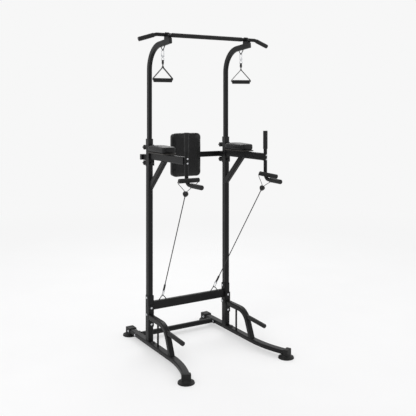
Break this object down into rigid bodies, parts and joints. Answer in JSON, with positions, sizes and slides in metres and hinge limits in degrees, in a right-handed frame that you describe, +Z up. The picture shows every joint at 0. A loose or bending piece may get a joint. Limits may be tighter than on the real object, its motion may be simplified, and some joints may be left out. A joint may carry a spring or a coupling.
{
  "type": "power tower",
  "caption": "Free-standing power tower with a height-adjustable pull-up mast, padded dip arms, backrest, push-up bars, hanging handles and clipped resistance bands.",
  "frame": {"origin": "on the floor, under the middle of the tower's footprint", "axes": "+Z up, +Y from the user towards the backrest, +X to the right as seen from the user's side in front of the tower"},
  "size_m": [1.0562, 1.062, 2.2045],
  "materials": {
    "powder_coat": "fine-textured satin black powder coat on steel tube",
    "foot_rubber": "matt moulded rubber",
    "foam": "soft closed-cell foam sleeve with a fine pitted skin",
    "vinyl": "grained synthetic leather over foam",
    "board": "dark-stained board",
    "black_plastic": "finely textured moulded plastic",
    "zinc": "bright zinc plating",
    "webbing": "woven polypropylene webbing, stitched",
    "cord": "latex cord in a tight black sheath",
    "stopper_rubber": "smooth moulded rubber"
  },
  "bodies": {
    "frame": {"base_rail_left": "powder_coat", "base_rail_right": "powder_coat", "rear_cross_tube": "powder_coat", "push_up_brace_left": "powder_coat", "push_up_brace_right": "powder_coat", "lower_crossbeam": "powder_coat", "low_anchor_loops": "powder_coat", "upright_left": "powder_coat", "upright_right": "powder_coat", "dip_arm_left": "powder_coat", "dip_arm_right": "powder_coat", "dip_struts": "powder_coat", "dip_handle_left": "powder_coat", "dip_handle_right": "powder_coat", "back_crossbar": "powder_coat", "front_feet": "foot_rubber", "rear_feet": "foot_rubber", "push_up_grips": "foam", "handle_grips": "foam", "arm_pad_left": "vinyl", "arm_pad_right": "vinyl", "backrest_pad": "vinyl", "pad_boards": "board", "collars": "black_plastic", "plastic_caps": "black_plastic", "frame_bolts": "zinc", "band_hook_left": "zinc", "band_hook_right": "zinc", "band_cord_left": "cord", "band_cord_right": "cord", "handle_cord_left": "cord", "handle_cord_right": "cord", "band_stops": "stopper_rubber"},
    "mast": {"mast_left": "powder_coat", "mast_right": "powder_coat", "top_anchor_loops": "powder_coat", "pull_up_bar": "powder_coat", "bar_grips": "foam", "bar_clamps": "powder_coat", "mast_caps": "black_plastic", "clamp_bolts": "powder_coat"},
    "mast_knob_left": {"mast_knob_left": "black_plastic"},
    "back_knob_left": {"back_knob_left": "black_plastic"},
    "hook_left": {"swivel_hook_left": "zinc"},
    "gate_left": {"hook_gate_left": "zinc"},
    "eye_left": {"swivel_eye_left": "zinc"},
    "strap_left": {"handle_strap_left": "webbing"},
    "grip_left": {"hanging_grip_left": "foam"},
    "band_gate_left": {"band_gate_left": "zinc"},
    "band_grip_left": {"band_grip_left": "foam"},
    "mast_knob_right": {"mast_knob_right": "black_plastic"},
    "back_knob_right": {"back_knob_right": "black_plastic"},
    "hook_right": {"swivel_hook_right": "zinc"},
    "gate_right": {"hook_gate_right": "zinc"},
    "eye_right": {"swivel_eye_right": "zinc"},
    "strap_right": {"handle_strap_right": "webbing"},
    "grip_right": {"hanging_grip_right": "foam"},
    "band_gate_right": {"band_gate_right": "zinc"},
    "band_grip_right": {"band_grip_right": "foam"}
  },
  "joints": [
    {"name": "mast_height", "type": "slide", "parent": "frame", "child": "mast", "axis": [0, 0, 1], "range_m": [-0.3, 0]},
    {"name": "mast_knob_left_turn", "type": "hinge", "parent": "frame", "child": "mast_knob_left", "pos_m": [-0.321, 0.232, 1.414], "axis": [0, 1, 0], "continuous": true},
    {"name": "back_knob_left_turn", "type": "hinge", "parent": "frame", "child": "back_knob_left", "pos_m": [-0.321, 0.232, 1.303], "axis": [0, 1, 0], "continuous": true},
    {"name": "hook_left_swing", "type": "hinge", "parent": "mast", "child": "hook_left", "pos_m": [-0.321, -0.033, 2.087], "axis": [0, 1, 0], "range_deg": [-25, 25]},
    {"name": "gate_left_open", "type": "hinge", "parent": "hook_left", "child": "gate_left", "pos_m": [-0.3295, -0.033, 2.058], "axis": [0, 1, 0], "range_deg": [0, 30], "stiffness_Nm_per_rad": 0.02, "springref_deg": -11.46},
    {"name": "eye_left_swivel", "type": "hinge", "parent": "hook_left", "child": "eye_left", "pos_m": [-0.321, -0.033, 2.046], "axis": [0, 0, 1], "continuous": true},
    {"name": "strap_left_swing", "type": "hinge", "parent": "eye_left", "child": "strap_left", "pos_m": [-0.321, -0.033, 2.017], "axis": [0.9962, -0.0872, 0], "range_deg": [-60, 60]},
    {"name": "grip_left_spin", "type": "hinge", "parent": "strap_left", "child": "grip_left", "pos_m": [-0.321, -0.033, 1.884], "axis": [0.9962, -0.0872, 0], "continuous": true},
    {"name": "band_gate_left_open", "type": "hinge", "parent": "frame", "child": "band_gate_left", "pos_m": [-0.21876, 0.16391, 0.38499], "axis": [-0.9955, 0.0504, -0.0807], "range_deg": [0, 30], "stiffness_Nm_per_rad": 0.02, "springref_deg": -11.46},
    {"name": "band_grip_left_spin", "type": "hinge", "parent": "frame", "child": "band_grip_left", "pos_m": [-0.313, -0.37879, 1.23436], "axis": [1, 0, 0], "continuous": true},
    {"name": "mast_knob_right_turn", "type": "hinge", "parent": "frame", "child": "mast_knob_right", "pos_m": [0.321, 0.232, 1.414], "axis": [0, 1, 0], "continuous": true},
    {"name": "back_knob_right_turn", "type": "hinge", "parent": "frame", "child": "back_knob_right", "pos_m": [0.321, 0.232, 1.303], "axis": [0, 1, 0], "continuous": true},
    {"name": "hook_right_swing", "type": "hinge", "parent": "mast", "child": "hook_right", "pos_m": [0.321, -0.033, 2.087], "axis": [0, 1, 0], "range_deg": [-25, 25]},
    {"name": "gate_right_open", "type": "hinge", "parent": "hook_right", "child": "gate_right", "pos_m": [0.3295, -0.033, 2.058], "axis": [0, -1, 0], "range_deg": [0, 30], "stiffness_Nm_per_rad": 0.02, "springref_deg": -11.46},
    {"name": "eye_right_swivel", "type": "hinge", "parent": "hook_right", "child": "eye_right", "pos_m": [0.321, -0.033, 2.046], "axis": [0, 0, 1], "continuous": true},
    {"name": "strap_right_swing", "type": "hinge", "parent": "eye_right", "child": "strap_right", "pos_m": [0.321, -0.033, 2.017], "axis": [0.9272, -0.3746, 0], "range_deg": [-60, 60]},
    {"name": "grip_right_spin", "type": "hinge", "parent": "strap_right", "child": "grip_right", "pos_m": [0.321, -0.033, 1.884], "axis": [0.9272, -0.3746, 0], "continuous": true},
    {"name": "band_gate_right_open", "type": "hinge", "parent": "frame", "child": "band_gate_right", "pos_m": [0.21876, 0.16391, 0.38499], "axis": [-0.9955, -0.0504, 0.0807], "range_deg": [0, 30], "stiffness_Nm_per_rad": 0.02, "springref_deg": -11.46},
    {"name": "band_grip_right_spin", "type": "hinge", "parent": "frame", "child": "band_grip_right", "pos_m": [0.313, -0.37934, 1.2352], "axis": [0.9781, 0, -0.2079], "continuous": true}
  ]
}
